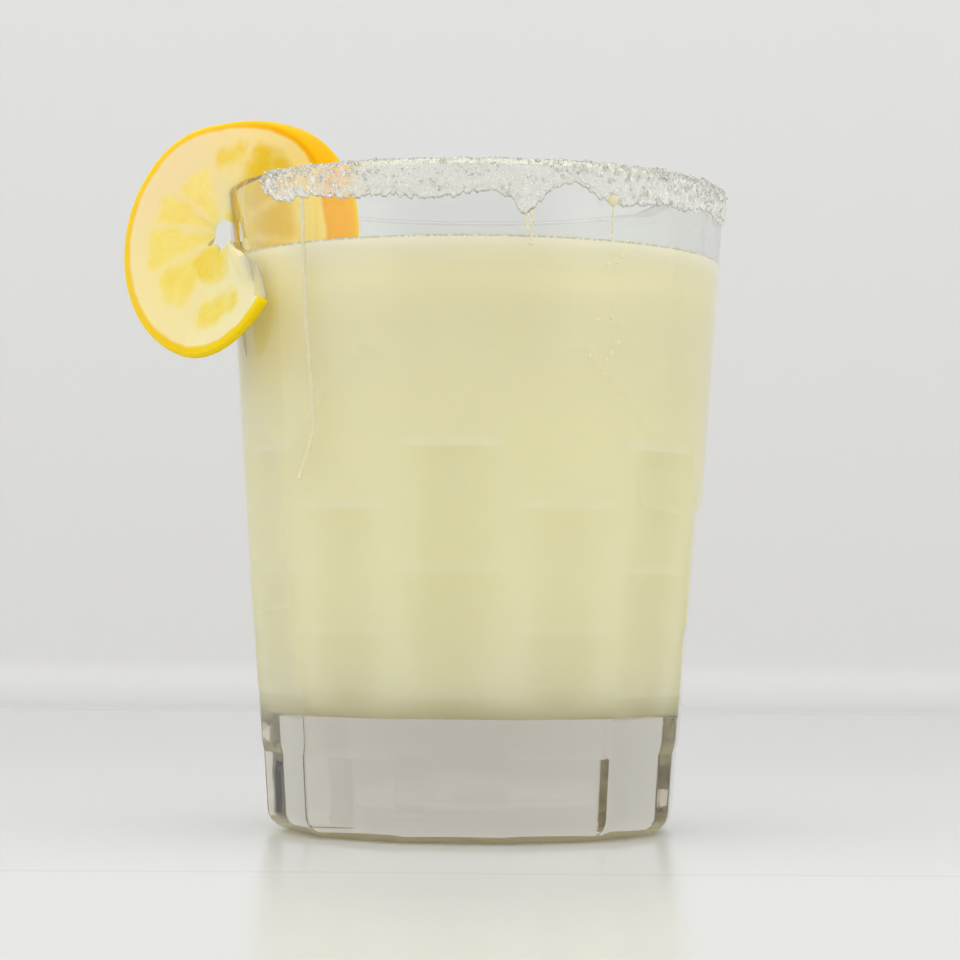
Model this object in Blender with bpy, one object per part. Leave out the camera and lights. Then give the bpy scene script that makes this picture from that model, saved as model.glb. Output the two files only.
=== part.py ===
"""A glass of lemonade: a tapered tumbler with staggered flat bricks pressed into its side, the drink in it,
a crust of coarse salt on its rim and a slit lemon wheel hung over the rim.

Metres, +Z up. The origin is the middle of the flat base. -Y is the front, +X the right-hand side.
An azimuth is measured round the glass from the front (-Y) towards +X.
"""
import math
import random

import bmesh
import bpy
from mathutils import Matrix, Vector

MM = 0.001
TOUCH_GAP = 0.3 * MM          # left between two pieces that touch

# Tumbler
GLASS_HEIGHT = 108.0 * MM
RIM_RADIUS = 42.35 * MM
OUTER_TAPER = 0.0676          # radius lost for each unit of height, going down
RIM_ROUND = 1.4 * MM          # half the thickness of the lip, rounded over
FOOT_RISE = 3.5 * MM          # rounded corner under the side
FOOT_REACH = 4.2 * MM
FLOOR_HEIGHT = 19.8 * MM      # thick solid base below the drink
FLOOR_RADIUS = 32.2 * MM      # inner wall carried down to the floor
INNER_TAPER = 0.083
FLOOR_CORNER = 6.0 * MM
TURN_STEPS = 96

# Bricks: twelve columns of flat faces, every second column half a brick lower
COLUMNS = 12
FIRST_COLUMN = -5.5           # azimuth of the column next to the front, degrees
BRICK_HEIGHT = 20.0 * MM
TOP_LEDGE = 63.0 * MM         # top of the higher columns
COLUMN_DROP = 9.7 * MM        # how much lower the others start
FIRST_RECESS = 0.9 * MM       # depth of the first face below the round side, at its middle
NEXT_RECESS = 0.37 * MM       # each brick below lies this much deeper
BRICK_ROWS = 3

# Drink
FILL_HEIGHT = 95.5 * MM

# Lemon wheel: rays of RIND_RADIUS from the core, each at its own slope towards or away from the front
CORE = Vector((-41.55, -8.0, 99.8)) * MM
RIND_RADIUS = 22.2 * MM
RIND_LONGER = 0.015           # the wheel is a little longer towards LONGER_AT
LONGER_AT = 40.0
RIND_FLATS = ((88.0, 27.0, 0.066), (215.0, 30.0, 0.03))   # direction, width and share of each flatter stretch
OUTER_CUT = 301.0             # the slit's outer edge, degrees in the XZ plane from +X towards +Z
INNER_CUT = -74.0             # the slit's inner edge, down in the drink
OUTER_SLOPE = 0.67            # tilt of the half outside the glass
OUTER_SLOPE_AT = 155.0        # direction in which that half falls back most
CURL_START = 250.0            # from here to the outer cut the leg bends forward round the glass
CURL_SLOPE = 0.58
CURL_POWER = 1.15
INNER_SLOPE = -0.25
TWIST_FROM = 40.0             # between these two directions the inner half turns into the outer one
TWIST_TO = 95.0
CORE_HOLE = 2.0 * MM
HOLE_WAVE = 0.25              # the hole left by the core has five shallow points
HOLE_POINTS = 5
SLICE_THICKNESS = 2.9 * MM    # the wheel was cut as a slight wedge
SLICE_WEDGE = 1.3 * MM
WEDGE_AT = 40.0
LEG_THINNING = 0.6 * MM       # the leg outside the glass has dried thinner
THIN_FROM = 235.0
THIN_TO = 285.0
FRONT_SMALLER = 0.3 * MM      # the front face is this much smaller than the back one all round,
FRONT_TAPER = 2.4 * MM        # and this much more towards TAPER_AT
TAPER_AT = 15.0
RIND_BULGE = 0.35 * MM        # crown of the rind between the two faces
SEGMENTS = 9
FIRST_MEMBRANE = 12.0
FLESH_DIP = 0.35 * MM
FLESH_FROM = (0.2, 0.32)      # shares of the reach between which the dip starts and ends
FLESH_TO = (0.68, 0.78)
WHEEL_SHARES = (0.0, 0.2, 0.4, 0.6, 0.72, 0.8, 1.0)
WHEEL_STEPS = 88
SPIN_TURN = math.radians(330.0)   # turn over which the flat wheel is spun before it is bent
WALL_CLEARANCE = 0.45 * MM

# Salt crust
CRUST_FROM = -55.0            # azimuths of its two ends; the wheel hangs in the bare stretch between them
CRUST_TO = 242.0
CRUST_BOTTOM = 102.3 * MM
CRUST_THICKNESS = 0.55 * MM
CRUST_STEPS = 100
GRAINS = 150
GRAIN_SMALL = 0.55 * MM
GRAIN_LARGE = 1.0 * MM
GRAIN_INSET = 1.4 * MM        # no grain lies closer than this to the crust's lower edge
CRUST_EDGE = 1.5 * MM         # the crust thins out over this height above that edge
CRUST_EDGE_THICKNESS = 0.15 * MM
LIP_FULLER = 0.12 * MM        # extra room for the crust on the turn of the lip


def outer_radius(z):
    """Radius of the round side before the bricks are cut."""
    return RIM_RADIUS - OUTER_TAPER * (GLASS_HEIGHT - z)


def inner_radius(z):
    """Radius of the inside, above the rounded corner of the floor."""
    return FLOOR_RADIUS + INNER_TAPER * (z - FLOOR_HEIGHT)


def smooth_step(low, high, value):
    """0 below low, 1 above high, with a soft change between."""
    share = min(max((value - low) / (high - low), 0.0), 1.0)
    return share * share * (3.0 - 2.0 * share)


def material(name, color, roughness, metallic=0.0):
    """A Principled BSDF in one colour."""
    made = bpy.data.materials.new(name)
    made.use_nodes = True
    shader = made.node_tree.nodes["Principled BSDF"]
    shader.inputs["Base Color"].default_value = (*color, 1.0)
    shader.inputs["Roughness"].default_value = roughness
    shader.inputs["Metallic"].default_value = metallic
    return made


def add_object(name, bm, made_material=None, smooth=True):
    """Turn a bmesh into a named object with its faces pointing out."""
    bmesh.ops.recalc_face_normals(bm, faces=bm.faces)
    mesh = bpy.data.meshes.new(name)
    bm.to_mesh(mesh)
    bm.free()
    made = bpy.data.objects.new(name, mesh)
    bpy.context.scene.collection.objects.link(made)
    if made_material:
        mesh.materials.append(made_material)
    if smooth:
        mesh.shade_smooth()
        mesh.set_sharp_from_angle(angle=math.radians(35.0))
    return made


def hide_cutter(cutter):
    """Keep a cutter out of the model."""
    cutter.hide_render = True
    cutter.display_type = 'WIRE'


def boolean(target, operation, tool=None, collection=None):
    """Cut or join target with one object or one collection."""
    modifier = target.modifiers.new(operation.lower(), 'BOOLEAN')
    modifier.operation = operation
    modifier.solver = 'EXACT'
    if collection:
        modifier.operand_type = 'COLLECTION'
        modifier.collection = collection
    else:
        modifier.object = tool
    return modifier


def turned(profile, steps=TURN_STEPS):
    """Spin (radius, height) points about Z into a closed shape."""
    bm = bmesh.new()
    verts = [bm.verts.new((radius, 0.0, z)) for radius, z in profile]
    edges = [bm.edges.new(pair) for pair in zip(verts, verts[1:])]
    bmesh.ops.spin(bm, geom=verts + edges, cent=(0, 0, 0), axis=(0, 0, 1), angle=math.tau,
                   steps=steps, use_merge=True)
    bmesh.ops.remove_doubles(bm, verts=bm.verts, dist=1e-6)
    return bm


def inner_profile(offset, top):
    """The inside of the glass, floor centre to wall, moved inwards by offset."""
    floor = FLOOR_HEIGHT + offset
    corner = FLOOR_CORNER - offset
    lean = math.atan(INNER_TAPER)
    middle_z = floor + corner
    middle_r = inner_radius(middle_z) - offset / math.cos(lean) - corner / math.cos(lean)
    points = [(0.0, floor), (middle_r * 0.5, floor)]
    steps = 6
    for step in range(steps + 1):
        turn = -math.pi / 2 + (math.pi / 2 - lean) * step / steps
        points.append((middle_r + corner * math.cos(turn), middle_z + corner * math.sin(turn)))
    points.append((inner_radius(top) - offset / math.cos(lean), top))
    return points


def rim_profile():
    """The rounded lip, from its inner side over the top to its outer side."""
    centre_r = RIM_RADIUS - RIM_ROUND
    centre_z = GLASS_HEIGHT - RIM_ROUND
    steps = 6
    return [(centre_r - RIM_ROUND * math.cos(math.pi * step / steps),
             centre_z + RIM_ROUND * math.sin(math.pi * step / steps)) for step in range(steps + 1)]


def foot_profile():
    """The rounded corner under the side, from the side down to the flat base."""
    edge = outer_radius(FOOT_RISE)
    steps = 5
    return [(edge - FOOT_REACH * (1.0 - math.cos(math.pi / 2 * step / steps)),
             FOOT_RISE * (1.0 - math.sin(math.pi / 2 * step / steps))) for step in range(steps + 1)]


def brick_cutter(azimuth, first_ledge):
    """A stepped slab that cuts one column of flat brick faces."""
    below = -2.0 * MM
    outside = RIM_RADIUS + 8.0 * MM
    half_width = 14.0 * MM
    outline = [(outside, first_ledge)]
    top = first_ledge
    for row in range(BRICK_ROWS):
        recess = FIRST_RECESS + NEXT_RECESS * row
        bottom = below if row == BRICK_ROWS - 1 else top - BRICK_HEIGHT
        outline.append((outer_radius(top) - recess, top))
        outline.append((outer_radius(bottom) - recess, bottom))
        top = bottom
    outline.append((outside, below))
    bm = bmesh.new()
    face = bm.faces.new([bm.verts.new((radius, -half_width, z)) for radius, z in outline])
    grown = bmesh.ops.extrude_face_region(bm, geom=[face])
    moved = [item for item in grown["geom"] if isinstance(item, bmesh.types.BMVert)]
    bmesh.ops.translate(bm, verts=moved, vec=(0.0, 2 * half_width, 0.0))
    turn = Matrix.Rotation(math.radians(azimuth - 90.0), 3, 'Z')
    bmesh.ops.rotate(bm, verts=bm.verts, cent=(0, 0, 0), matrix=turn)
    return add_object(f"brick_cutter_{azimuth:.1f}", bm, smooth=False)


def build_glass():
    """Turned tumbler with its twelve columns of bricks cut in."""
    profile = inner_profile(0.0, GLASS_HEIGHT - RIM_ROUND * 1.6)
    profile += rim_profile()
    profile += foot_profile()
    profile += [(0.0, 0.0)]
    glass = add_object("glass", turned(profile), material("clear_glass", (0.80, 0.82, 0.80), 0.04))
    cutters = bpy.data.collections.new("brick_cutters")
    bpy.context.scene.collection.children.link(cutters)
    for column in range(COLUMNS):
        drop = COLUMN_DROP if column % 2 else 0.0
        cutter = brick_cutter(FIRST_COLUMN + 360.0 / COLUMNS * column, TOP_LEDGE - drop)
        bpy.context.scene.collection.objects.unlink(cutter)
        cutters.objects.link(cutter)
        hide_cutter(cutter)
    boolean(glass, 'DIFFERENCE', collection=cutters)
    return glass


def ray_slope(angle):
    """How far a ray of the wheel runs back (+Y) for each unit that it runs in the XZ plane."""
    outer = OUTER_SLOPE * math.cos(math.radians(angle - OUTER_SLOPE_AT))
    if angle > CURL_START:
        outer -= CURL_SLOPE * ((angle - CURL_START) / (OUTER_CUT - CURL_START)) ** CURL_POWER
    inner = INNER_SLOPE * math.cos(math.radians(angle))
    share = smooth_step(TWIST_FROM, TWIST_TO, angle)
    return inner + (outer - inner) * share


def ray(angle):
    """Unit vector of the wheel's ray at this angle of the XZ plane."""
    turn = math.radians(angle)
    return Vector((math.cos(turn), ray_slope(angle), math.sin(turn))).normalized()


def wheel_normal(angle):
    """Unit normal of the wheel along a ray, on the side that faces the front."""
    step = 0.5
    normal = ray(angle).cross(ray(angle + step) - ray(angle - step)).normalized()
    return -normal if normal.y > 0.0 else normal


def rind_radius(angle):
    """Length of the ray: nearly a circle, with two flatter stretches."""
    flat = sum(depth * math.exp(-((angle - middle) / width) ** 2) for middle, width, depth in RIND_FLATS)
    longer = RIND_LONGER * math.cos(math.radians(angle - LONGER_AT))
    return RIND_RADIUS * (1.0 - flat + longer)


def thickness(angle):
    """Thickness of the wedge-cut wheel along a ray."""
    wedge = SLICE_WEDGE * math.cos(math.radians(angle - WEDGE_AT))
    return SLICE_THICKNESS + wedge - LEG_THINNING * smooth_step(THIN_FROM, THIN_TO, angle)


def rind_taper(angle):
    """How much smaller the front face is than the back one."""
    return FRONT_SMALLER + FRONT_TAPER * max(0.0, math.cos(math.radians(angle - TAPER_AT)))


def flesh_depth(share, angle):
    """How deep the flesh lies below the pith and membranes, at a share of the radius."""
    across = abs(math.sin(math.radians(angle - FIRST_MEMBRANE) * SEGMENTS / 2.0))
    along = smooth_step(*FLESH_FROM, share) * (1.0 - smooth_step(*FLESH_TO, share))
    return FLESH_DIP * smooth_step(0.12, 0.6, across) * along


def flat_wheel(steps, shares):
    """A flat slit wheel: its section, spun nearly full circle. Reach runs from 1 to 2, level from -1 to 1."""
    section = [(1.0 + share, 1.0) for share in shares]
    section += [(2.0, 0.0)]
    section += [(1.0 + share, -1.0) for share in reversed(shares)]
    bm = bmesh.new()
    face = bm.faces.new([bm.verts.new((reach, 0.0, level)) for reach, level in section])
    bmesh.ops.spin(bm, geom=[face], cent=(0, 0, 0), axis=(0, 0, 1), angle=SPIN_TURN, steps=steps)
    return bm


def wheel_point(reach, level, turn, grow):
    """Where a point of the flat wheel lies on the bent one."""
    angle = OUTER_CUT + (INNER_CUT - OUTER_CUT) * turn / SPIN_TURN
    share = reach - 1.0
    half = thickness(angle) / 2.0 + grow
    wave = 1.0 + HOLE_WAVE * math.cos(math.radians(angle) * HOLE_POINTS)
    hole = CORE_HOLE * wave - grow
    back = rind_radius(angle) + grow
    front = back - rind_taper(angle)
    outer = front + (back - front) * (1.0 - level) / 2.0
    if level == 0.0:
        outer += RIND_BULGE
    lift = half - (0.0 if grow else flesh_depth(share, angle))
    return CORE + ray(angle) * (hole + (outer - hole) * share) + wheel_normal(angle) * lift * level


def wheel_mesh(grow, steps, shares):
    """The slit wheel as a closed shape: spun flat, then bent ray by ray over the rim of the glass."""
    bm = flat_wheel(steps, shares)
    for vert in bm.verts:
        turn = math.atan2(vert.co.y, vert.co.x)
        if turn < -0.001:
            turn += math.tau
        vert.co = wheel_point(vert.co.xy.length, round(vert.co.z), turn, grow)
    bmesh.ops.triangulate(bm, faces=bm.faces)
    return bm


def build_wall_cutter():
    """The glass's wall with clearance on both sides and over the rim, for the wheel's slit."""
    top = GLASS_HEIGHT + WALL_CLEARANCE
    low = 60.0 * MM
    ring = [(inner_radius(low) - WALL_CLEARANCE, low), (inner_radius(top) - WALL_CLEARANCE, top),
            (outer_radius(top) + WALL_CLEARANCE, top), (outer_radius(low) + WALL_CLEARANCE, low),
            (inner_radius(low) - WALL_CLEARANCE, low)]
    cutter = add_object("wall_cutter", turned(ring), smooth=False)
    hide_cutter(cutter)
    return cutter


def build_lemon_slice():
    """Lemon wheel, slit from the rind to above the core and pushed over the rim."""
    lemon = add_object("lemon_slice", wheel_mesh(0.0, WHEEL_STEPS, WHEEL_SHARES),
                       material("lemon_flesh", (0.90, 0.72, 0.22), 0.35))
    boolean(lemon, 'DIFFERENCE', tool=build_wall_cutter())
    return lemon


def build_lemonade():
    """The drink, up to its level, with room for the leg of the wheel that dips into it."""
    profile = inner_profile(TOUCH_GAP, FILL_HEIGHT)
    profile += [(0.0, FILL_HEIGHT)]
    drink = add_object("lemonade", turned(profile), material("lemonade", (0.80, 0.77, 0.45), 0.15))
    cutter = add_object("slice_cutter", wheel_mesh(WALL_CLEARANCE, 60, (0.0, 1.0)), smooth=False)
    hide_cutter(cutter)
    boolean(drink, 'DIFFERENCE', tool=cutter)
    return drink


def crust_bottom(azimuth):
    """Lower edge of the crust: wavy, with one drip and one thin place beside it."""
    wave = 0.45 * math.sin(math.radians(azimuth) * 7.0) + 0.3 * math.sin(math.radians(azimuth) * 17.0 + 1.0)
    drip = -3.2 * math.exp(-((azimuth - 11.0) / 3.5) ** 2)
    thin = 1.7 * math.exp(-((azimuth - 21.0) / 5.0) ** 2)
    return CRUST_BOTTOM + (wave + drip + thin) * MM


def crust_section():
    """Closed outline of the crust with its lower edge at CRUST_BOTTOM, as (radius, height) points."""
    low = CRUST_BOTTOM
    inside = TOUCH_GAP
    outside = TOUCH_GAP + CRUST_THICKNESS
    shoulder = GLASS_HEIGHT - RIM_ROUND
    top_radius = RIM_RADIUS - RIM_ROUND
    near_turn = (RIM_ROUND + inside) * math.sqrt(0.5) + LIP_FULLER
    far_turn = (RIM_ROUND + outside) * math.sqrt(0.5) + LIP_FULLER
    return [
        (outer_radius(low) + inside, low),
        (outer_radius(shoulder) + inside, shoulder),
        (top_radius + near_turn, shoulder + near_turn),
        (top_radius, GLASS_HEIGHT + inside),
        (top_radius, GLASS_HEIGHT + outside),
        (top_radius + far_turn, shoulder + far_turn),
        (outer_radius(shoulder) + outside, shoulder),
        (outer_radius(low + CRUST_EDGE) + outside, low + CRUST_EDGE),
        (outer_radius(low) + inside + CRUST_EDGE_THICKNESS, low),
    ]


def at_azimuth(radius, z, azimuth):
    """A point at this radius and height."""
    turn = math.radians(azimuth)
    return Vector((radius * math.sin(turn), -radius * math.cos(turn), z))


def crust_mesh():
    """The crust's band: its section spun from one end to the other, its lower edge then drawn up or down."""
    bm = bmesh.new()
    section = crust_section()
    face = bm.faces.new([bm.verts.new(at_azimuth(radius, z, CRUST_FROM)) for radius, z in section])
    bmesh.ops.spin(bm, geom=[face], cent=(0, 0, 0), axis=(0, 0, 1),
                   angle=math.radians(CRUST_TO - CRUST_FROM), steps=CRUST_STEPS)
    shoulder = GLASS_HEIGHT - RIM_ROUND
    for vert in bm.verts:
        if vert.co.z > shoulder - 0.1 * MM:
            continue
        azimuth = math.degrees(math.atan2(vert.co.x, -vert.co.y))
        if azimuth < CRUST_FROM - 1.0:
            azimuth += 360.0
        stretch = (shoulder - crust_bottom(azimuth)) / (shoulder - CRUST_BOTTOM)
        z = shoulder - (shoulder - vert.co.z) * stretch
        proud = vert.co.xy.length - outer_radius(vert.co.z)
        vert.co = at_azimuth(outer_radius(z) + proud, z, azimuth)
    return bm


def grain_block(rng, number):
    """One grain of salt: a cube turned at random, its inner corner sunk in the crust."""
    size = GRAIN_SMALL + (GRAIN_LARGE - GRAIN_SMALL) * rng.random() ** 1.5
    azimuth = CRUST_FROM + 2.0 + (CRUST_TO - CRUST_FROM - 4.0) * (number + rng.random()) / GRAINS
    low = crust_bottom(azimuth) + GRAIN_INSET
    z = low + (GLASS_HEIGHT - 0.6 * MM - low) * rng.random()
    half_diagonal = size * math.sqrt(3.0) / 2.0
    place = at_azimuth(outer_radius(z) + TOUCH_GAP + half_diagonal + 0.04 * MM, z, azimuth)
    angle = rng.uniform(0.0, math.pi)
    axis = Vector((rng.gauss(0, 1), rng.gauss(0, 1), rng.gauss(0, 1)))
    bm = bmesh.new()
    bmesh.ops.create_cube(bm, size=size)
    bmesh.ops.rotate(bm, verts=bm.verts, cent=(0, 0, 0), matrix=Matrix.Rotation(angle, 3, axis))
    bmesh.ops.translate(bm, verts=bm.verts, vec=place)
    return bm


def build_salt_rim():
    """Band of wet salt round the rim with coarse grains fused to it."""
    salt = add_object("salt_rim", crust_mesh(), material("salt", (0.80, 0.80, 0.76), 0.30), smooth=False)
    grains = bpy.data.collections.new("salt_grains")
    bpy.context.scene.collection.children.link(grains)
    rng = random.Random(7)
    for number in range(GRAINS):
        grain = add_object(f"grain_{number:03d}", grain_block(rng, number), smooth=False)
        bpy.context.scene.collection.objects.unlink(grain)
        grains.objects.link(grain)
    joined = boolean(salt, 'UNION', collection=grains)
    bpy.context.view_layer.objects.active = salt
    bpy.ops.object.modifier_apply(modifier=joined.name)
    for grain in list(grains.objects):
        bpy.data.objects.remove(grain)
    bpy.data.collections.remove(grains)
    return salt


for old in list(bpy.data.objects):
    bpy.data.objects.remove(old)
build_glass()
build_lemonade()
build_lemon_slice()
build_salt_rim()
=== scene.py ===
import math
import random

import bmesh
import bpy
from mathutils import Matrix, Vector, noise


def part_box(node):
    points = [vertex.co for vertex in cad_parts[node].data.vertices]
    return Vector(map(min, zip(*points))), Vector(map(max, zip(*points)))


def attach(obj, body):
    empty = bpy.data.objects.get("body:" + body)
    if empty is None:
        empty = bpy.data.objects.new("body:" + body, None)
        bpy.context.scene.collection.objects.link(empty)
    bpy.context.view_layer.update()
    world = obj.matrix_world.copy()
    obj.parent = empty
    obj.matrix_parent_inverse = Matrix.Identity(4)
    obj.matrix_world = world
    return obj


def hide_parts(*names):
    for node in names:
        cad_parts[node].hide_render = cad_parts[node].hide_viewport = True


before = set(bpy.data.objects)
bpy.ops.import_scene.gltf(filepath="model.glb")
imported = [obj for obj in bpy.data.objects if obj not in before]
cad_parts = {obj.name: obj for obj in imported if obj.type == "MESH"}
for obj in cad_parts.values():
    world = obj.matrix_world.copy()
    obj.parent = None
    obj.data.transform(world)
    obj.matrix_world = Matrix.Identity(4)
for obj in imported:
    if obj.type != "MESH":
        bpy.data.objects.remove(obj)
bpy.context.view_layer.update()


# ---------------------------------------------------------------------------------------------------------
# Tumbler. Pressed clear glass: a round tapered side above twelve columns of flat brick faces, staggered by
# half a brick, over a thick solid base. Turned first, then each point of the side is pressed in to the
# nearest brick face, with soft edges where faces meet.
# ---------------------------------------------------------------------------------------------------------
MM = 0.001
glass_high = Vector(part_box("glass")[1])
glass_height = glass_high.z
rim_radius = glass_high.x
side_taper = 0.0676           # radius lost for each unit of height, going down
lip_radius = 1.4 * MM
foot_rise = 3.5 * MM
foot_reach = 4.2 * MM
floor_height = 19.8 * MM      # top of the solid base
floor_radius = 32.2 * MM      # inner wall carried down to that height
inner_taper = 0.083
floor_corner = 6.0 * MM
columns = 12
column_turn = math.tau / columns
first_column = math.radians(-5.5)
brick_height = 20.0 * MM
ledge_heights = (63.0 * MM, 53.3 * MM)     # top ledge of the higher and of the lower columns
brick_recess = (0.9 * MM, 0.37 * MM, 0.37 * MM)
ledge_rise = (5.5 * MM, 3.0 * MM, 3.0 * MM)    # height over which each ledge slopes in
ledge_curve = 2.6             # the slope is gentle at first and steepest at the ledge itself
first_proud = 0.5 * MM        # above its top ledge a face would lie this far outside the round side
edge_soft = 0.10 * MM
steps_per_column = 30
side_start = 3.2 * MM         # evenly spaced rings of the side: first height, spacing and number
side_spacing = 2.2 * MM
side_rings = 48
ledge_rings = (-0.6, -0.15, 0.0, 0.15, 0.4, 0.9, 1.5, 2.2, 3.0, 4.0, 5.0)    # more rings, mm above each ledge
ring_gap = 0.5 * MM           # the side's rings stay this far under the shoulder of the lip
bricks_top = ledge_heights[0] + 8.0 * MM
floor_steps = 8
corner_steps = 12
wall_steps = 16
lip_steps = 14
foot_steps = 9
flat_steps = 6


def smooth_step(low, high, value):
    """0 at low, 1 at high, with a soft change between."""
    share = min(max((value - low) / (high - low), 0.0), 1.0)
    return share * share * (3.0 - 2.0 * share)


def side_radius(z):
    """Radius of the round side, before the bricks."""
    return rim_radius - side_taper * (glass_height - z)


def wall_radius(z):
    """Radius of the inside, above the rounded corner of the floor."""
    return floor_radius + inner_taper * (z - floor_height)


def foot_inset(z):
    """How far the rounded foot lies inside the side at this height."""
    if z >= foot_rise:
        return 0.0
    turn = math.asin(min(max(1.0 - z / foot_rise, 0.0), 1.0))
    return foot_reach * (1.0 - math.cos(turn))


def brick_depth(z, top_ledge):
    """How far a column's flat face lies inside the round side at this height."""
    depth = -first_proud
    for row, step in enumerate(brick_recess):
        ledge = top_ledge - row * brick_height
        rise = step + (first_proud if row == 0 else 0.0)
        share = (ledge + ledge_rise[row] - z) / ledge_rise[row]
        depth += rise * min(max(share, 0.0), 1.0) ** ledge_curve
    return depth


def soft_least(values, soft):
    """The least value, with a rounded change from one to the next."""
    least = min(values)
    return least - soft * math.log(sum(math.exp((least - value) / soft) for value in values))


def pressed_radius(turn, z):
    """Radius of the finished side in one direction, turn being measured from the front towards +X."""
    nearest = round((turn - first_column) / column_turn)
    radii = [side_radius(z)]
    for column in (nearest - 1, nearest, nearest + 1):
        off = turn - first_column - column * column_turn
        face = side_radius(z) - brick_depth(z, ledge_heights[column % 2])
        radii.append(face / math.cos(off))
    return soft_least(radii, edge_soft) - foot_inset(z)


def inside_profile(grow, top):
    """Points of the inside, from the middle of the floor up to height top, moved outwards by grow."""
    lean = math.atan(inner_taper)
    corner = floor_corner + grow
    middle_z = floor_height + floor_corner
    middle_r = wall_radius(middle_z) - floor_corner / math.cos(lean)
    points = [(middle_r * step / floor_steps, middle_z - corner) for step in range(floor_steps)]
    for step in range(corner_steps + 1):
        turn = -math.pi / 2 + (math.pi / 2 - lean) * step / corner_steps
        points.append((middle_r + corner * math.cos(turn), middle_z + corner * math.sin(turn)))
    start = points[-1][1]
    for step in range(1, wall_steps + 1):
        z = start + (top - start) * step / wall_steps
        points.append((wall_radius(z) + grow / math.cos(lean), z))
    return points


def spun(profile, steps):
    """Turn a profile of (radius, height) points about Z."""
    bm = bmesh.new()
    verts = [bm.verts.new((0.0, -radius, z)) for radius, z in profile]
    edges = [bm.edges.new(pair) for pair in zip(verts, verts[1:])]
    bmesh.ops.spin(bm, geom=verts + edges, cent=(0, 0, 0), axis=(0, 0, 1), angle=math.tau,
                   steps=steps, use_merge=True)
    bmesh.ops.remove_doubles(bm, verts=bm.verts, dist=1e-7)
    return bm


def finished(name, bm, material, sharp=None):
    """Make the mesh an object at the origin, smooth shaded, with its faces pointing out."""
    bmesh.ops.recalc_face_normals(bm, faces=bm.faces)
    mesh = bpy.data.meshes.new(name)
    bm.to_mesh(mesh)
    bm.free()
    mesh.materials.append(material)
    mesh.shade_smooth()
    if sharp:
        mesh.set_sharp_from_angle(angle=math.radians(sharp))
    piece = bpy.data.objects.new(name, mesh)
    bpy.context.scene.collection.objects.link(piece)
    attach(piece, "root")
    return piece


class Wire:
    """A socket in a material. Sums and products of wires add Math nodes; node() adds any other node."""

    def __init__(self, tree, socket):
        self.tree = tree
        self.socket = socket

    def node(self, kind, inputs, output=0, stops=None, **settings):
        made = self.tree.nodes.new("ShaderNode" + kind)
        for name, value in settings.items():
            setattr(made, name, value)
        if stops:
            ramp = made.color_ramp
            while len(ramp.elements) < len(stops):
                ramp.elements.new(0.5)
            for element, (place, color) in zip(ramp.elements, stops):
                element.position = place
                element.color = (*color, 1.0)
        for key, value in inputs.items():
            if isinstance(value, Wire):
                self.tree.links.new(value.socket, made.inputs[key])
            else:
                made.inputs[key].default_value = value
        return Wire(self.tree, made.outputs[output])

    def math(self, operation, *others, clamp=False):
        inputs = dict(enumerate((self, *others)))
        return self.node("Math", inputs, operation=operation, use_clamp=clamp)

    def __add__(self, other):
        return self.math('ADD', other)

    def __radd__(self, other):
        return self.math('ADD', other)

    def __sub__(self, other):
        return self.math('SUBTRACT', other)

    def __rsub__(self, other):
        return (self * -1.0) + other

    def __mul__(self, other):
        return self.math('MULTIPLY', other)

    def __rmul__(self, other):
        return self.math('MULTIPLY', other)

    def __truediv__(self, other):
        return self.math('DIVIDE', other)

    def between(self, low, high):
        """0 at low, 1 at high, smooth between; low may be above high."""
        inputs = {"Value": self, "From Min": low, "From Max": high}
        return self.node("MapRange", inputs, interpolation_type='SMOOTHSTEP')

    def mixed(self, low, high):
        """Colour low where this wire is 0 and high where it is 1."""
        return self.node("Mix", {0: self, 6: low, 7: high}, output=2, data_type='RGBA')


def new_material(name, **constants):
    """A material with one Principled shader; constants are set on its sockets."""
    material = bpy.data.materials.new(name)
    material.use_nodes = True
    shader = material.node_tree.nodes["Principled BSDF"]
    for socket, value in constants.items():
        shader.inputs[socket.replace("_", " ")].default_value = value
    return material, shader


def place_of(material):
    """Object coordinates, as a wire."""
    tree = material.node_tree
    return Wire(tree, tree.nodes.new("ShaderNodeTexCoord").outputs["Object"])


def connect(material, wire, socket):
    material.node_tree.links.new(wire.socket, socket)


def bump(height, strength, distance):
    """A normal from a height wire."""
    return height.node("Bump", {"Height": height, "Strength": strength, "Distance": distance})


def glass_material():
    """Clear pressed glass: faint ripples from the mould in the surface, a trace of olive in the depth."""
    material, shader = new_material("pressed_glass", Base_Color=(0.97, 0.985, 0.97, 1.0), Roughness=0.0,
                                    IOR=1.5, Transmission_Weight=1.0)
    place = place_of(material)
    ripple = place.node("TexNoise", {"Vector": place, "Scale": 90.0, "Detail": 1.0})
    connect(material, bump(ripple, 0.05, 0.0004), shader.inputs["Normal"])
    depth = place.node("VolumeAbsorption", {"Color": (0.57, 0.50, 0.38, 1.0), "Density": 11.5})
    output = material.node_tree.nodes["Material Output"]
    material.node_tree.links.new(depth.socket, output.inputs["Volume"])
    return material


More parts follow.
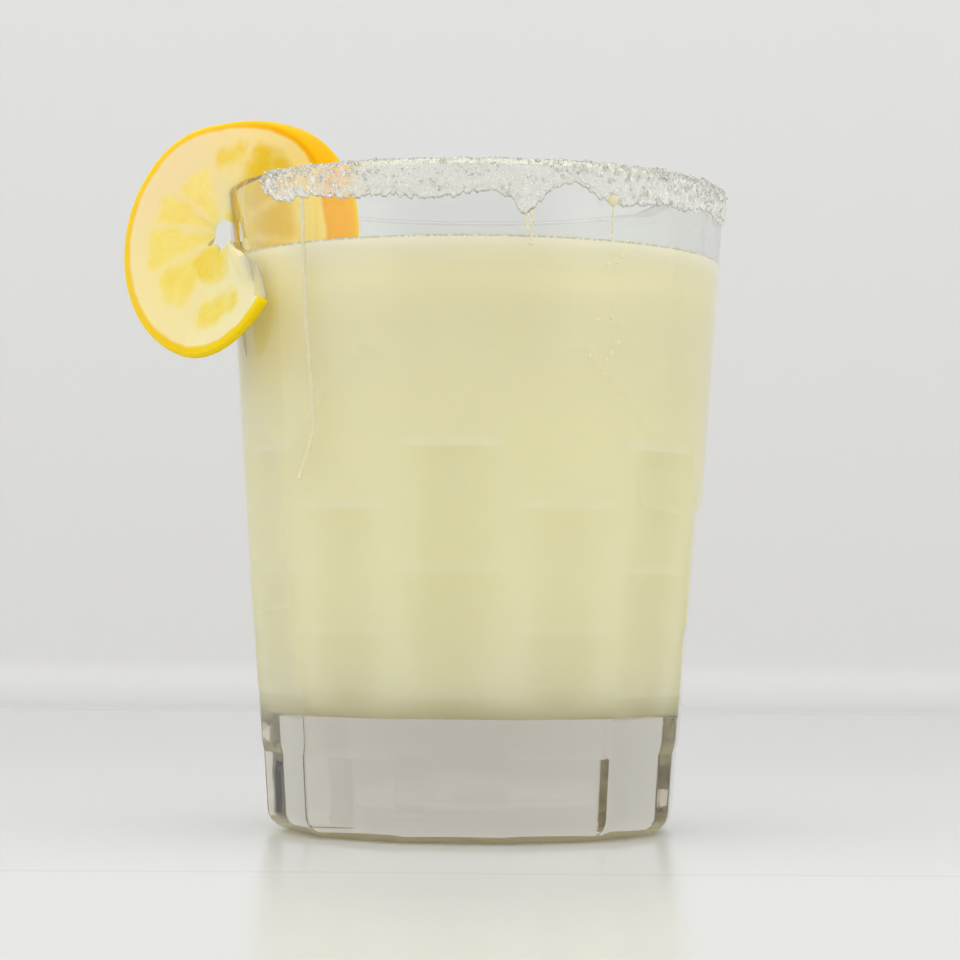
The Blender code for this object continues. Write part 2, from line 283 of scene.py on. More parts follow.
def build_glass():
    """Turn the tumbler, then press the bricks into its side."""
    heights = {round(side_start + step * side_spacing, 6) for step in range(side_rings)}
    for top_ledge in ledge_heights:
        for row in range(len(brick_recess)):
            ledge = top_ledge - row * brick_height
            heights |= {round(ledge + offset * MM, 6) for offset in ledge_rings}
    shoulder = glass_height - lip_radius
    side = [z for z in sorted(heights, reverse=True) if foot_rise + 0.1 * MM < z < shoulder - ring_gap]
    profile = inside_profile(0.0, shoulder - 0.8 * MM)
    for step in range(lip_steps + 1):
        turn = math.pi * step / lip_steps
        radius = rim_radius - lip_radius * (1.0 + math.cos(turn))
        profile.append((radius, shoulder + lip_radius * math.sin(turn)))
    profile += [(side_radius(z), z) for z in side]
    foot = [foot_rise * (1.0 - math.sin(math.pi / 2 * step / foot_steps)) for step in range(foot_steps + 1)]
    profile += [(side_radius(z) - foot_inset(z), z) for z in foot]
    flat_radius = side_radius(0.0) - foot_inset(0.0)
    profile += [(flat_radius * step / flat_steps, 0.0) for step in range(flat_steps - 1, -1, -1)]
    bm = spun(profile, columns * steps_per_column)
    for vert in bm.verts:
        radius = vert.co.xy.length
        z = vert.co.z
        inside = radius < side_radius(z) - foot_inset(z) - 0.02 * MM
        if inside or z > bricks_top:
            continue
        turn = math.atan2(vert.co.x, -vert.co.y)
        scale = min(pressed_radius(turn, z) / radius, 1.0)
        vert.co.x *= scale
        vert.co.y *= scale
    piece = finished("tumbler", bm, glass_material())
    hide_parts("glass")
    return piece


build_glass()


# ---------------------------------------------------------------------------------------------------------
# Lemonade. Cloudy with pulp, pale yellow, filled to about 12 mm below the rim. Its side reaches a tenth of
# a millimetre into the wall of the glass, and its top creeps up the wall in a small meniscus. Its colour
# carries painted light and shade: lighter behind each ledge of the bricks, golden where the lemon wheel
# dips in, greyer near its top and a touch lighter near the bottom.
# ---------------------------------------------------------------------------------------------------------
drink_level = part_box("lemonade")[1][2]
wall_overlap = 0.12 * MM
meniscus = 0.7 * MM           # the drink stands this much higher at the wall
creep_step = 0.45 * MM        # spacing of the meniscus's rings, and how fast it falls off over them
creep_fall = 0.55
creep_rings = 8
top_rings = 10
bubble_line = (drink_level + 0.3 * MM, drink_level + 0.5 * MM)
painted_ledge_light_share = 0.5              # painted light: how far the drink's colour turns lighter behind a ledge
painted_dip_shine_share = 0.75           # and, as painted light, golden at slice_dip, over these distances from it
painted_dip_shine_reach = (17.0 * MM, 3.0 * MM)
slice_dip = (-33.0 * MM, -18.5 * MM, 85.0 * MM)    # the dipped edge of the wheel; its look through the drink is painted into the drink's colour


def painted_ledge_light(place):
    """1 on the drink behind each ledge of the bricks: a mask of painted light, in place of light the ledge
    gathers.
    """
    z = place.node("SeparateXYZ", {0: place}, output=2)
    front = place.node("SeparateXYZ", {0: place}, output=1) * -1.0
    turn = place.node("SeparateXYZ", {0: place}, output=0).math('ARCTAN2', front)
    column = (turn - first_column) / column_turn
    nearest = column.math('ROUND')
    aside = (column - nearest).math('ABSOLUTE')
    lower = nearest.math('FLOORED_MODULO', 2.0)
    above = z - ledge_heights[0] + lower * (ledge_heights[0] - ledge_heights[1])
    gap = above - (above / brick_height).math('ROUND') * brick_height
    band = gap.between(-0.9 * MM, 0.7 * MM) * gap.between(2.6 * MM, 0.7 * MM)
    top_row = above.between(10.0 * MM, 9.0 * MM) * (above.between(-20.0 * MM, -10.0 * MM) * 0.4 + 0.6)
    return band * aside.between(0.50, 0.34) * top_row


def lemonade_material():
    """Cloudy juice that light soaks into for a centimetre or two, with faint clouds of pulp and painted light
    and shade.
    """
    material, shader = new_material("cloudy_lemonade", Roughness=0.12, IOR=1.33, Subsurface_Weight=1.0,
                                    Subsurface_Radius=(1.0, 0.9, 0.5), Subsurface_Scale=0.018,
                                    Specular_IOR_Level=0.25)
    shader.subsurface_method = 'BURLEY'
    place = place_of(material)
    height = place.node("SeparateXYZ", {0: place}, output=2)
    clouds = place.node("TexNoise", {"Vector": place, "Scale": 55.0, "Detail": 4.0, "Roughness": 0.55})
    # painted shade: the drink's colour is greyer and darker towards its top
    body = height.between(96.0 * MM, 60.0 * MM).mixed((0.94, 0.90, 0.68, 1.0), (0.99, 0.955, 0.66, 1.0))
    # painted light: a touch lighter near the bottom
    low = height.between(34.0 * MM, 20.0 * MM).mixed(body, (1.0, 0.96, 0.68, 1.0))
    cloudy = (clouds.between(0.35, 0.7) * 0.35).mixed(low, (1.0, 0.975, 0.73, 1.0))
    bubbles = place.node("TexNoise", {"Vector": place, "Scale": 2200.0, "Detail": 1.0})
    line = height.between(*bubble_line) * bubbles.between(0.30, 0.62)
    # painted shade: a greyer band just under the drink's top, against the glow that light entering there
    # gives
    rim = height.between(drink_level - 7.0 * MM, drink_level - 0.5 * MM)
    edge = rim.mixed(cloudy, (0.795, 0.76, 0.59, 1.0))
    # painted light: the drink turns golden near the dipped edge of the wheel, standing in for the wheel seen
    # through it
    dip = place.node("VectorMath", {0: place, 1: slice_dip}, output=1, operation='DISTANCE')
    golden = (dip.between(*painted_dip_shine_reach) * painted_dip_shine_share).mixed(edge, (1.0, 0.88, 0.40, 1.0))
    # painted light: the drink's colour is lightened behind each ledge of the bricks
    lit = (painted_ledge_light(place) * painted_ledge_light_share).mixed(golden, (1.0, 0.985, 0.82, 1.0))
    color = (line * 0.65).mixed(lit, (0.36, 0.35, 0.22, 1.0))
    connect(material, color, shader.inputs["Base Color"])
    return material


def build_lemonade():
    """The drink as one turned body."""
    profile = inside_profile(wall_overlap, drink_level + meniscus)
    edge = wall_radius(drink_level)
    for step in range(1, creep_rings + 1):
        creep = math.exp(-step * creep_fall)
        profile.append((edge - step * creep_step, drink_level + meniscus * creep))
    profile += [(edge * step / top_rings, drink_level) for step in range(top_rings - 2, -1, -1)]
    piece = finished("drink", spun(profile, 240), lemonade_material())
    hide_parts("lemonade")
    return piece


build_lemonade()


# ---------------------------------------------------------------------------------------------------------
# Lemon wheel. A slightly wedge-cut slice from near the end of a ripe lemon: uneven segments with soft
# membranes, thick pale pith, a thin orange-yellow zest. It is slit and pushed over the rim; the half inside
# faces the front, and the half outside falls back, its leg curling forward round the glass.
# ---------------------------------------------------------------------------------------------------------
core = Vector((-41.55, -8.0, 99.8)) * MM
rind_reach = 22.2 * MM
rind_flats = ((80.0, 27.0, 0.105), (205.0, 40.0, 0.03))    # direction, width and share of each flat stretch
outer_cut = 299.5             # the slit's two edges, degrees in the XZ plane from +X towards +Z
inner_cut = -74.0
outer_slope = 0.67
outer_slope_at = 155.0
curl_start = 250.0            # from here on the leg curls forward
curl_slope = 0.58
curl_power = 1.15
inner_slope = -0.25
twist_from = 40.0             # the wheel twists from its inner to its outer slope between these two
twist_to = 95.0
wheel_thickness = 2.9 * MM
wheel_wedge = 1.3 * MM        # it is this much thicker or thinner towards thick_side and away from it
thick_side = 40.0
leg_rest = (268.0, 290.0)     # the leg comes to lie on the glass between these directions
core_hole = 2.0 * MM
flat_share = 0.9              # the flat wheel is spun through this share of its turn, so its ends stay apart
wheel_steps = 300
face_rings = 48
edge_steps = 8                # round the rind, from front to back
cutter_low = 60.0 * MM        # lower end of the slit's cutter, well below the wheel
cutter_steps = 180
leg_thinning = 1.1 * MM
torn_bulge = 15.0             # degrees that the torn outer cut bulges at mid reach
slit_bite = 0.08 * MM         # wet contact: the slit's faces reach this far into the glass
# each segment: first and last direction, nearest and farthest reach in mm, depth of colour; the depth is
# greatest on the half inside the glass, partly the flesh's own tone and partly painted shade
segments = (
    (250.0, 285.0, 11.4, 17.2, 0.5), (212.0, 277.0, 1.6, 9.4, 0.65), (208.0, 242.0, 6.0, 15.6, 0.35),
    (170.0, 206.0, 1.0, 16.3, 0.25), (140.0, 169.0, 1.0, 16.0, 0.25), (102.0, 139.0, 1.0, 14.0, 0.1),
    (72.0, 99.0, 11.0, 15.6, 0.6), (28.0, 70.0, 1.0, 16.3, 0.9), (-9.0, 27.5, 1.0, 13.2, 1.0),
    (-41.0, -9.5, 1.0, 13.4, 1.0), (-72.0, -43.0, 3.5, 14.0, 0.8))


def ray_slope(angle):
    """How far a ray of the wheel runs back for each unit that it runs in the XZ plane."""
    outer = outer_slope * math.cos(math.radians(angle - outer_slope_at))
    if angle > curl_start:
        outer -= curl_slope * ((angle - curl_start) / (outer_cut - curl_start)) ** curl_power
    inner = inner_slope * math.cos(math.radians(angle))
    return inner + (outer - inner) * smooth_step(twist_from, twist_to, angle)


def ray(angle):
    """Direction of the wheel's ray at this angle of the XZ plane."""
    turn = math.radians(angle)
    return Vector((math.cos(turn), ray_slope(angle), math.sin(turn))).normalized()


def wheel_normal(angle):
    """Normal of the wheel along a ray, on the side that faces the front."""
    normal = ray(angle).cross(ray(angle + 0.5) - ray(angle - 0.5)).normalized()
    return -normal if normal.y > 0.0 else normal


def rind_radius(angle):
    """Length of a ray: nearly a circle, with two flatter stretches."""
    flat = sum(depth * math.exp(-((angle - middle) / width) ** 2) for middle, width, depth in rind_flats)
    return rind_reach * (1.0 - flat + 0.015 * math.cos(math.radians(angle - thick_side)))


def hole_radius(angle):
    """The torn hole left by the core, with two long points."""
    torn = 1.9 * math.exp(-((angle - 212.0) / 11.0) ** 2) + 0.9 * math.exp(-((angle - 256.0) / 22.0) ** 2)
    return core_hole + torn * MM


def hole_flare(angle):
    """How much wider the hole is at the back, where the torn wheel falls back."""
    return 2.0 * half_thickness(angle) * (max(ray_slope(angle), 0.0) * 1.5 + 0.12)


def half_thickness(angle):
    """Half the thickness of the wedge-cut wheel; the leg outside the glass has dried thinner."""
    wedge = wheel_wedge * math.cos(math.radians(angle - thick_side))
    return (wheel_thickness + wedge - leg_thinning * smooth_step(235.0, 285.0, angle)) / 2.0


def front_edge(angle):
    """Reach of the front face, which is a little smaller than the back one."""
    taper = 0.3 + 0.4 * smooth_step(130.0, 90.0, angle) + 2.8 * math.exp(-((angle - 10.0) / 38.0) ** 2)
    return rind_radius(angle) - taper * MM


def inside_segment(angle, reach):
    """Distance in mm that a spot lies inside its nearest segment, and that segment's depth of colour."""
    best = (-9.0, 0.5)
    for first, last, near, far, tone in segments:
        middle = (first + last) / 2.0
        half = (last - first) / 2.0
        across = math.radians(half - abs(angle - middle)) * max(reach, 1.0)
        along = min((reach - near) * 0.6, far - reach)
        corner = 1.6
        deep = corner - math.hypot(max(corner - across, 0.0), max(corner - along, 0.0))
        best = max(best, (deep, tone))
    return best


def lemon_material():
    """Flesh, pith and zest from the wheel's own layers: mm inside a segment, its tone, mm from the rind."""
    material, shader = new_material("lemon_flesh_and_rind", Roughness=0.35, IOR=1.4, Subsurface_Weight=0.8,
                                    Subsurface_Radius=(1.0, 0.75, 0.3), Subsurface_Scale=0.004,
                                    Specular_IOR_Level=0.06)
    place = place_of(material)
    layout = place.node("UVMap", {}, uv_map="wheel")
    turn = place.node("SeparateXYZ", {0: layout}, output=0)
    reach = place.node("SeparateXYZ", {0: layout}, output=1)
    inside = place.node("Attribute", {}, output=2, attribute_name="segment")
    tone = place.node("Attribute", {}, output=2, attribute_name="tone")
    rim = place.node("Attribute", {}, output=2, attribute_name="rim")
    wobble = place.node("TexNoise", {"Vector": place, "Scale": 330.0, "Detail": 3.0})
    cells = place.node("CombineXYZ", {0: turn * 70.0, 1: reach * 8.0, 2: 0.0})
    vesicle = place.node("TexVoronoi", {"Vector": cells, "Scale": 1.0, "Randomness": 0.9}, output=0)
    flesh = (inside + (wobble - 0.5) * 2.6).between(-0.9, 1.5)
    # the deep gold of the half inside the glass is partly the flesh's own tone, partly painted shade
    depth = (tone + (vesicle - 0.5) * 0.2 + (wobble - 0.5) * 0.6).math('MULTIPLY', 1.0, clamp=True)
    pulp = depth.mixed((0.87, 0.73, 0.25, 1.0), (0.81, 0.57, 0.035, 1.0))
    # pith and zest run deeper towards the half inside the glass: partly their own tone, partly painted shade
    pith = turn.node("ValToRGB", {0: turn}, stops=[
        (0.0, (0.85, 0.74, 0.44)), (0.2, (0.84, 0.71, 0.37)),
        (0.5, (0.83, 0.69, 0.38)), (0.75, (0.90, 0.73, 0.22))])
    face = flesh.mixed(pith, pulp)
    zest = turn.node("ValToRGB", {0: turn}, stops=[
        (0.0, (0.88, 0.575, 0.008)), (0.13, (0.87, 0.56, 0.012)), (0.22, (0.85, 0.55, 0.04)),
        (0.52, (0.87, 0.55, 0.03)), (0.64, (0.87, 0.46, 0.003)), (1.0, (0.87, 0.45, 0.002))])
    color = (rim + (wobble - 0.5) * 0.7).between(1.45, 0.75).mixed(face, zest)
    connect(material, color, shader.inputs["Base Color"])
    pores = place.node("TexNoise", {"Vector": place, "Scale": 1400.0, "Detail": 1.0})
    relief = vesicle * flesh * 0.4 + wobble * 0.4 + rim.between(0.4, 0.1) * pores * 0.35
    connect(material, bump(relief, 0.5, 0.0004), shader.inputs["Normal"])
    return material


def wheel_section():
    """Outline of the flat wheel's section: 1 at the hole, 2 at the rind; level 1 in front, -1 behind."""
    section = [(1.0 + share / face_rings, 1.0) for share in range(face_rings + 1)]
    for step in range(1, edge_steps):
        turn = math.pi * step / edge_steps
        section.append((2.0 + 0.02 * math.sin(turn), math.cos(turn)))
    section += [(1.0 + share / face_rings, -1.0) for share in range(face_rings, -1, -1)]
    return section


def lay_out(bm, layout, full):
    """UV map of the flat wheel: share of its full turn, and share of the way from hole to rind."""
    for part in bm.faces:
        middle = part.calc_center_median()
        near = math.atan2(middle.y, middle.x) % math.tau
        for loop in part.loops:
            spot = loop.vert.co
            turn = math.atan2(spot.y, spot.x) % math.tau
            if turn - near > math.pi:
                turn -= math.tau
            loop[layout].uv = (turn / full, spot.xy.length - 1.0)


def bend(vert, layers, full):
    """Move one point of the flat wheel to its place, and note its segment, tone and reach from rind."""
    spot = vert.co.copy()
    turn = math.atan2(spot.y, spot.x)
    if turn < -1e-4:
        turn += math.tau
    share = min(spot.xy.length - 1.0, 1.0)
    torn = torn_bulge * smooth_step(0.05, 0.35, share) * smooth_step(0.9, 0.62, share)
    torn += 5.0 * noise.noise(Vector((share * 9.0, 0.4, spot.z * 0.4)))
    angle = outer_cut + (inner_cut - outer_cut) * turn / full
    angle += torn * smooth_step(outer_cut - 45.0, outer_cut, angle) * smooth_step(1.0, 0.93, share)
    bulge = max(spot.xy.length - 2.0, 0.0) * 20.0 * MM
    hole = hole_radius(angle) + hole_flare(angle) * (1.0 - spot.z) / 2.0
    back = rind_radius(angle)
    front = front_edge(angle)
    outer = back + (front - back) * (spot.z + 1.0) / 2.0
    reach = hole + (outer - hole) * share
    inside, tone = inside_segment(angle, reach / MM)
    for layer, value in zip(layers, (inside, tone, (outer - reach) / MM)):
        vert[layer] = value
    half = half_thickness(angle)
    place = core + ray(angle) * (reach + bulge) + wheel_normal(angle) * half * spot.z
    lies = smooth_step(*leg_rest, angle)
    short = side_radius(place.z) + half * (1.0 + spot.z) * 0.8 - place.xy.length
    if short > 0.0:
        place.xy *= 1.0 + short * lies / place.xy.length
    vert.co = place


def cut_slit(piece):
    """Cut the wall and lip of the glass out of the wheel, a little small, so that the faces bite."""
    low = cutter_low
    shoulder = glass_height - lip_radius
    ring = [(wall_radius(low) + slit_bite, low)]
    for step in range(edge_steps + 1):
        turn = math.pi * step / edge_steps
        ring.append((rim_radius - lip_radius - (lip_radius - slit_bite) * math.cos(turn),
                     shoulder + (lip_radius - slit_bite) * math.sin(turn)))
    ring += [(side_radius(low) - slit_bite, low), ring[0]]
    bm = spun(ring, cutter_steps)
    bmesh.ops.recalc_face_normals(bm, faces=bm.faces)
    mesh = bpy.data.meshes.new("slit")
    bm.to_mesh(mesh)
    bm.free()
    slit = bpy.data.objects.new("slit", mesh)
    bpy.context.scene.collection.objects.link(slit)
    cut = piece.modifiers.new("slit", 'BOOLEAN')
    cut.object = slit
    cut.solver = 'MANIFOLD'
    bpy.context.view_layer.objects.active = piece
    bpy.ops.object.modifier_apply(modifier=cut.name)
    bpy.data.objects.remove(slit)


def build_lemon_wheel():
    """Spin a flat slit wheel, bend it along its rays, then cut its slit round the wall of the glass."""
    bm = bmesh.new()
    face = bm.faces.new([bm.verts.new((radius, 0.0, level)) for radius, level in wheel_section()])
    layout = bm.loops.layers.uv.new("wheel")
    layers = [bm.verts.layers.float.new(name) for name in ("segment", "tone", "rim")]
    full = math.radians(outer_cut - inner_cut) * flat_share
    bmesh.ops.spin(bm, geom=[face], cent=(0, 0, 0), axis=(0, 0, 1), angle=full, steps=wheel_steps)
    lay_out(bm, layout, full)
    for vert in bm.verts:
        bend(vert, layers, full)
    piece = finished("lemon_wheel", bm, lemon_material(), sharp=50.0)
    cut_slit(piece)
    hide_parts("lemon_slice")
    return piece


build_lemon_wheel()


# ---------------------------------------------------------------------------------------------------------
# Salt rim. Coarse salt stuck to the wetted outside of the lip: a half-melted band with a ragged lower edge
# and single grains on it, no more than a film on the far side. The wheel hangs in the bare stretch between
# its two ends, and brine from it has run down the glass and dried.
# ---------------------------------------------------------------------------------------------------------
crust_from = -55.0            # azimuths of its two ends, from the front towards +X
crust_to = 242.0
crust_low = 102.3 * MM
crust_thickness = 0.5 * MM
film_low = 107.3 * MM         # on the far side only a film is left, from this height up
film_share = 0.1
thinnest = 0.02 * MM
skin = 0.12 * MM              # thickness of the bedding under the crust
crust_around = 900
crust_rows = 14
grain_count = 1300
grain_least = 0.22 * MM
grain_spread = 0.38 * MM
coarse_part = (22.0, 75.0)    # the grains are larger between these azimuths and at the band's first end
coarse_end = -48.0
coarser = 1.35
grain_edge = 0.05 * MM


def crust_bottom(azimuth):
    """Lower edge of the crust: wavy, with one drip and one thin place beside it."""
    wave = 0.45 * math.sin(math.radians(azimuth) * 7.0) + 0.3 * math.sin(math.radians(azimuth) * 17.0 + 1.0)
    drip = -3.2 * math.exp(-((azimuth - 11.0) / 3.5) ** 2)
    thin = 1.7 * math.exp(-((azimuth - 21.0) / 5.0) ** 2)
    start = 2.6 * math.exp(-((azimuth - crust_from) / 5.0) ** 2)
    return crust_low + (wave + drip + thin + start) * MM


def far_side(azimuth):
    """0 on the near side, 1 on the far side, where the salt is thin."""
    return smooth_step(80.0, 110.0, azimuth)


def salt_material(name, clear, roughness, white_specks):
    """Wet salt: glassy brine with milky salt in it. White where the mesh's own layer or the specks say so."""
    material, shader = new_material(name, Base_Color=(0.97, 0.97, 0.945, 1.0), Roughness=roughness, IOR=1.34,
                                    Transmission_Weight=clear)
    place = place_of(material)
    far = place.node("SeparateXYZ", {0: place}, output=1).between(0.0, 0.02)
    rough = place.node("TexNoise", {"Vector": place, "Scale": 1500.0, "Detail": 2.0}) * (1.0 - far)
    connect(material, bump(rough, 0.5, 0.0002), shader.inputs["Normal"])
    milk = place.node("BsdfDiffuse", {"Color": (0.88, 0.86, 0.785, 1.0)})
    speck = place.node("TexNoise", {"Vector": place, "Scale": 2400.0, "Detail": 2.0})
    patch = place.node("TexNoise", {"Vector": place, "Scale": 420.0, "Detail": 2.0})
    layer = place.node("Attribute", {}, output=2, attribute_name="milky")
    share = layer * patch.between(0.3, 0.65) + speck.between(0.57, 0.63) * white_specks * (1.0 - far)
    share = share.math('MINIMUM', 0.92)
    both = place.node("MixShader", {0: share, 1: Wire(material.node_tree, shader.outputs[0]), 2: milk})
    output = material.node_tree.nodes["Material Output"]
    connect(material, both, output.inputs["Surface"])
    return material


def at_azimuth(radius, z, azimuth):
    """A point at this radius and height, azimuth in degrees from the front towards +X."""
    turn = math.radians(azimuth)
    return Vector((radius * math.sin(turn), -radius * math.cos(turn), z))


def build_crust():
    """The band: a grid bent round the lip, then given its thickness. Its lower edge is whitest."""
    bm = bmesh.new()
    bmesh.ops.create_grid(bm, x_segments=crust_around, y_segments=crust_rows, size=0.5)
    milky = bm.verts.layers.float.new("milky")
    shoulder = glass_height - lip_radius
    for vert in bm.verts:
        azimuth = crust_from + (crust_to - crust_from) * (vert.co.x + 0.5)
        share = vert.co.y + 0.5
        spot = at_azimuth(1.0, 0.0, azimuth)
        ragged = noise.noise(spot * 55.0) * 0.7 * MM + noise.noise(spot * 160.0) * 0.35 * MM
        near = 1.0 - far_side(azimuth)
        low = (crust_bottom(azimuth) + ragged) * near + film_low * (1.0 - near)
        length = (shoulder - low) + lip_radius * math.pi / 2
        along = length * share
        lump = noise.noise(Vector((azimuth * 0.9, share * 4.0, 3.0)))
        thick = crust_thickness * smooth_step(0.0, 0.25, share) * smooth_step(1.0, 0.8, share)
        lump *= near
        thick *= (0.75 + 0.8 * lump) * (film_share + (1.0 - film_share) * near)
        thick = max(thick, thinnest)
        if along < shoulder - low:
            radius = side_radius(low + along) + thick
            z = low + along
        else:
            turn = (along - (shoulder - low)) / lip_radius
            radius = rim_radius - lip_radius + (lip_radius + thick) * math.cos(turn)
            z = shoulder + (lip_radius + thick) * math.sin(turn)
        vert.co = at_azimuth(radius, z, azimuth)
        bottom = smooth_step(0.28, 0.10, share) * 0.8
        vert[milky] = (0.2 + 0.2 * lump + bottom) * near
    bmesh.ops.solidify(bm, geom=bm.faces, thickness=skin)
    piece = finished("salt_crust", bm, salt_material("wet_salt", 0.9, 0.22, 0.6))
    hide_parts("salt_rim")
    return piece


def add_grain(bm, rng, azimuth):
    """One grain: a small cube, turned at random, bedded in the crust."""
    size = grain_least + grain_spread * rng.random() ** 2.0
    if coarse_part[0] < azimuth < coarse_part[1] or azimuth < coarse_end:
        size *= coarser
    low = crust_bottom(azimuth) + 5.0 * MM * far_side(azimuth)
    z = low + (glass_height + 0.1 * MM - low) * rng.random() ** 0.8
    shoulder = glass_height - lip_radius
    if z < shoulder:
        radius = side_radius(z)
    else:
        radius = rim_radius - lip_radius + math.sqrt(max(lip_radius ** 2 - (z - shoulder) ** 2, 0.0))
    middle = at_azimuth(radius + size * 0.35 + 0.1 * MM, z, azimuth)
    axis = Vector((rng.gauss(0, 1), rng.gauss(0, 1), rng.gauss(0, 1)))
    place = Matrix.Translation(middle) @ Matrix.Rotation(rng.uniform(0, math.pi), 4, axis)
    bmesh.ops.create_cube(bm, size=size, matrix=place)


def build_grains():
    """Grains with their edges taken off, made a hundred at a time; none on the far side."""
    rng = random.Random(11)
    whole = bmesh.new()
    for first in range(0, grain_count, 100):
        batch = bmesh.new()
        for number in range(first, first + 100):
            share = (number + rng.random()) / grain_count
            azimuth = crust_from + (crust_to - crust_from) * share
            if rng.random() < 1.0 - far_side(azimuth):
                add_grain(batch, rng, azimuth)
        bmesh.ops.bevel(batch, geom=list(batch.edges), offset=grain_edge, segments=1, profile=0.5,
                        affect='EDGES', material=-1)
        mesh = bpy.data.meshes.new("grain_batch")
        batch.to_mesh(mesh)
        batch.free()
        whole.from_mesh(mesh)
        bpy.data.meshes.remove(mesh)
    piece = finished("salt_grains", whole, salt_material("salt_crystal", 0.8, 0.12, 0.8), sharp=20.0)
    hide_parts("salt_rim")
    return piece


long_trickle = ((102.0, -41.7), (83.2, -41.6), (65.8, -40.3), (57.9, -46.5))    # height in mm, azimuth
short_trickles = ((12.4, 99.5, 94.2), (11.2, 99.0, 96.5), (31.4, 101.5, 96.0))  # azimuth, top, bottom in mm
loose_drops = 16
drop_azimuths = (26.0, 36.0)
drop_heights = (70.0, 97.0)


def add_drop(bm, azimuth, z, width, height, depth):
    """One flattened drop lying on the outside of the glass."""
    place = at_azimuth(pressed_radius(math.radians(azimuth), z), z, azimuth)
    size = Matrix.Diagonal((width / 2.0, depth, height / 2.0, 1.0))
    turned = Matrix.Translation(place) @ Matrix.Rotation(math.radians(azimuth), 4, 'Z') @ size
    bmesh.ops.create_icosphere(bm, subdivisions=2, radius=1.0, matrix=turned)


def build_drips():
    """Brine that has run down from the crust: one long trickle, three short ones, a few loose drops."""
    rng = random.Random(5)
    bm = bmesh.new()
    for (high, start), (low, end) in zip(long_trickle, long_trickle[1:]):
        drops = round((high - low) / 0.8)
        for number in range(drops):
            share = number / drops
            azimuth = start + (end - start) * share + rng.uniform(-0.12, 0.12)
            z = (high + (low - high) * share) * MM
            add_drop(bm, azimuth, z, rng.uniform(0.7, 1.2) * MM, 1.9 * MM, 0.10 * MM)
    for azimuth, high, low in short_trickles:
        drops = round((high - low) / 0.5)
        for number in range(drops):
            z = (high + (low - high) * number / drops) * MM
            width = 0.35 + 0.35 * (number == drops - 1)
            add_drop(bm, azimuth + rng.uniform(-0.2, 0.2), z, width * MM, 0.9 * MM, 0.14 * MM)
    add_drop(bm, 31.4, 102.2 * MM, 2.2 * MM, 2.2 * MM, 0.6 * MM)
    for number in range(loose_drops):
        azimuth = rng.uniform(*drop_azimuths)
        z = rng.uniform(*drop_heights) * MM
        width = rng.uniform(0.3, 0.7) * MM
        add_drop(bm, azimuth, z, width, width * 1.3, 0.16 * MM)
    material = new_material("brine", Base_Color=(1.0, 0.95, 0.68, 1.0), Roughness=0.4, IOR=1.15,
                            Transmission_Weight=0.45)[0]
    piece = finished("brine_drips", bm, material)
    return piece


build_crust()
build_grains()
build_drips()


# ---------------------------------------------------------------------------------------------------------
# Surroundings: a pale glossy table that sweeps up into a plain wall, soft light from above and the sides,
# and a camera near table height.
# ---------------------------------------------------------------------------------------------------------
table_end = 0.588             # distance from the glass to the wall behind it
sweep = 0.016                 # radius of the sweep from table to wall
sweep_steps = 12
table_front = -1.6
half_width = 2.2
wall_height = 1.2
table_drop = 0.2 * MM         # the table lies this far under the glass
vein_place = -0.079           # a faint grey line across the table, in front of the glass
light_place = Vector((0.0, 0.20, 0.75))
light_aim = Vector((0.0, table_end, 0.15))
light_size = (2.6, 0.3)
light_power = 2.6
frame_pixels = 960.0          # width of the frame, and the focal length in its pixels
focal_pixels = 2877.0
film_width = 36.0
camera_place = (0.0010, -0.490, 0.0383)
camera_tilt = 2.43            # degrees upwards
camera_roll = 0.37


def stage_material():
    """Pale table, glossy, lighter near and darker towards its far end as painted light and shade; the wall
    is matt and a little brighter towards its top as painted light.
    """
    material, shader = new_material("studio", Roughness=0.22)
    place = place_of(material)
    back = place.node("SeparateXYZ", {0: place}, output=1)
    up = place.node("SeparateXYZ", {0: place}, output=2)
    # painted light and shade: the table's colour lighter on its near part and darker towards its far end
    table = back.between(0.30, -0.14).mixed((0.515, 0.515, 0.512, 1.0), (0.69, 0.69, 0.69, 1.0))
    # painted light: the wall a little brighter towards its top
    wall = up.between(0.05, 0.35).mixed((0.68, 0.675, 0.665, 1.0), (0.68, 0.68, 0.68, 1.0))
    waver = place.node("TexNoise", {"Vector": place, "Scale": 9.0, "Detail": 3.0})
    vein = (back - vein_place + (waver - 0.5) * 0.012).math('ABSOLUTE').between(0.0022, 0.0004) * 0.5
    veined = (vein * waver).mixed(table, (0.50, 0.50, 0.50, 1.0))
    color = up.between(0.0, sweep).mixed(veined, wall)
    connect(material, color, shader.inputs["Base Color"])
    gloss = back.between(table_end - 0.10, table_end - 0.01) * 0.6 + 0.2
    connect(material, gloss, shader.inputs["Roughness"])
    return material


def build_stage():
    """Table and wall as one swept strip."""
    bm = bmesh.new()
    points = [(table_front, -table_drop), (table_end - sweep, -table_drop)]
    for step in range(1, sweep_steps + 1):
        turn = math.pi / 2 * step / sweep_steps
        points.append((table_end - sweep + sweep * math.sin(turn), sweep - sweep * math.cos(turn)))
    points.append((table_end, wall_height))
    verts = [bm.verts.new((-half_width, y, z)) for y, z in points]
    edges = [bm.edges.new(pair) for pair in zip(verts, verts[1:])]
    grown = bmesh.ops.extrude_edge_only(bm, edges=edges)
    moved = [item for item in grown["geom"] if isinstance(item, bmesh.types.BMVert)]
    bmesh.ops.translate(bm, verts=moved, vec=(2.0 * half_width, 0.0, 0.0))
    mesh = bpy.data.meshes.new("studio_sweep")
    bm.to_mesh(mesh)
    bm.free()
    mesh.shade_smooth()
    mesh.materials.append(stage_material())
    sweep_piece = bpy.data.objects.new("studio_sweep", mesh)
    bpy.context.scene.collection.objects.link(sweep_piece)


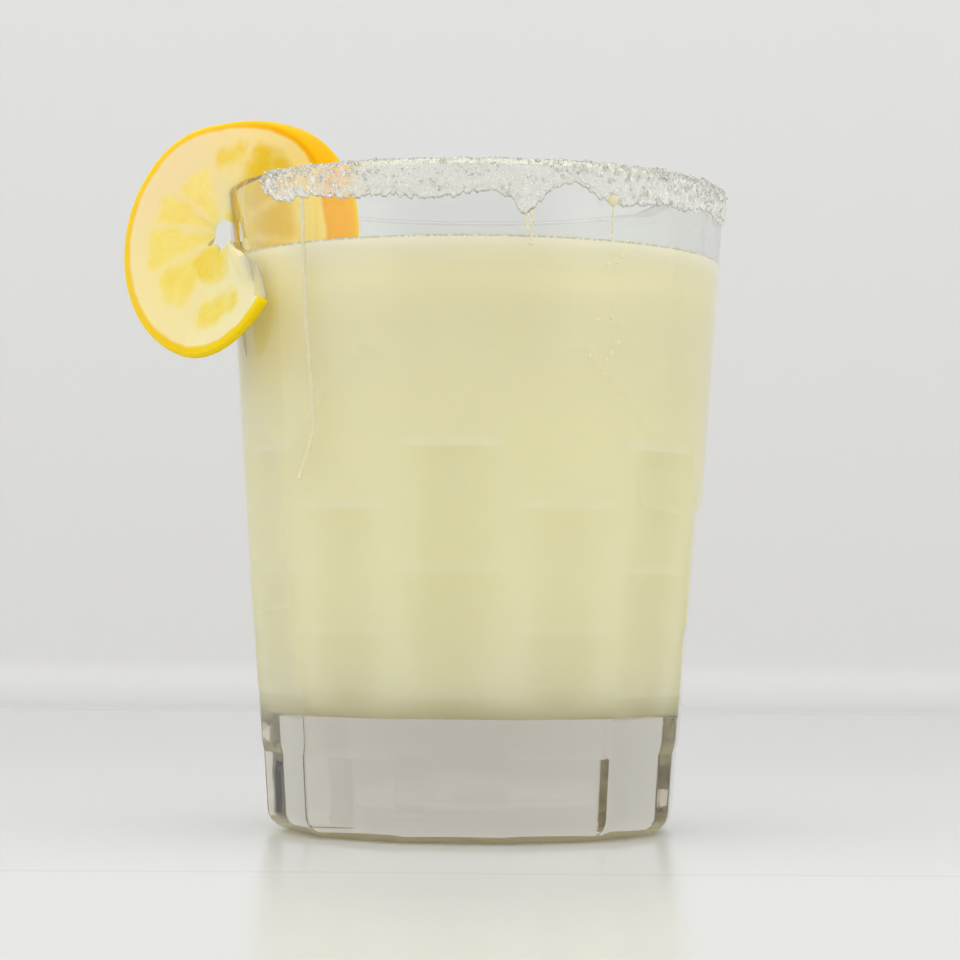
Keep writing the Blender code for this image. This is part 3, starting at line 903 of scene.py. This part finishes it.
def build_wall_light():
    """A long soft light above the glass, aimed at the wall."""
    data = bpy.data.lights.new("wall_light", 'AREA')
    data.shape = 'RECTANGLE'
    data.size, data.size_y = light_size
    data.energy = light_power
    light = bpy.data.objects.new("wall_light", data)
    light.location = light_place
    light.rotation_euler = (light_aim - light_place).to_track_quat('-Z', 'Y').to_euler()
    bpy.context.scene.collection.objects.link(light)


def build_camera():
    """Camera near table height, tilted up a little."""
    data = bpy.data.cameras.new("camera")
    data.sensor_width = film_width
    data.lens = film_width * focal_pixels / frame_pixels
    camera = bpy.data.objects.new("camera", data)
    tilt = Matrix.Rotation(math.radians(90.0 + camera_tilt), 4, 'X')
    roll = Matrix.Rotation(math.radians(camera_roll), 4, 'Z')
    camera.matrix_world = Matrix.Translation(camera_place) @ tilt @ roll
    bpy.context.scene.collection.objects.link(camera)
    bpy.context.scene.camera = camera


def build_room():
    """Light from all round, brightest high up in front, with one darker patch behind the camera."""
    world = bpy.data.worlds.new("room")
    world.use_nodes = True
    air = Wire(world.node_tree, world.node_tree.nodes.new("ShaderNodeTexCoord").outputs["Generated"])
    rise = air.node("SeparateXYZ", {0: air}, output=2)
    away = air.node("SeparateXYZ", {0: air}, output=1)
    walls = away.between(-0.9, 0.2).mixed((1.20, 1.20, 1.18, 1.0), (0.85, 0.85, 0.84, 1.0))
    lamps = rise.between(0.3, 0.6) * away.between(0.3, -0.3)
    high = lamps.mixed(walls, (1.75, 1.75, 1.74, 1.0))
    ceiling = rise.between(0.7, 0.95).mixed(high, (1.10, 1.10, 1.10, 1.0))
    dark = away.between(-0.60, -0.93) * rise.between(0.42, 0.22)
    light = dark.mixed(ceiling, (0.35, 0.35, 0.35, 1.0))
    background = world.node_tree.nodes["Background"]
    world.node_tree.links.new(light.socket, background.inputs["Color"])
    background.inputs["Strength"].default_value = 1.0
    bpy.context.scene.world = world


build_stage()
build_room()
build_camera()
build_wall_light()
bpy.context.scene.view_settings.view_transform = 'Standard'
bpy.context.scene.cycles.blur_glossy = 0.0     # light that reaches the drink through clear glass stays sharp
bpy.context.scene.cycles.max_bounces = 16      # light may run along inside the wall of the glass
bpy.context.scene.cycles.transmission_bounces = 16
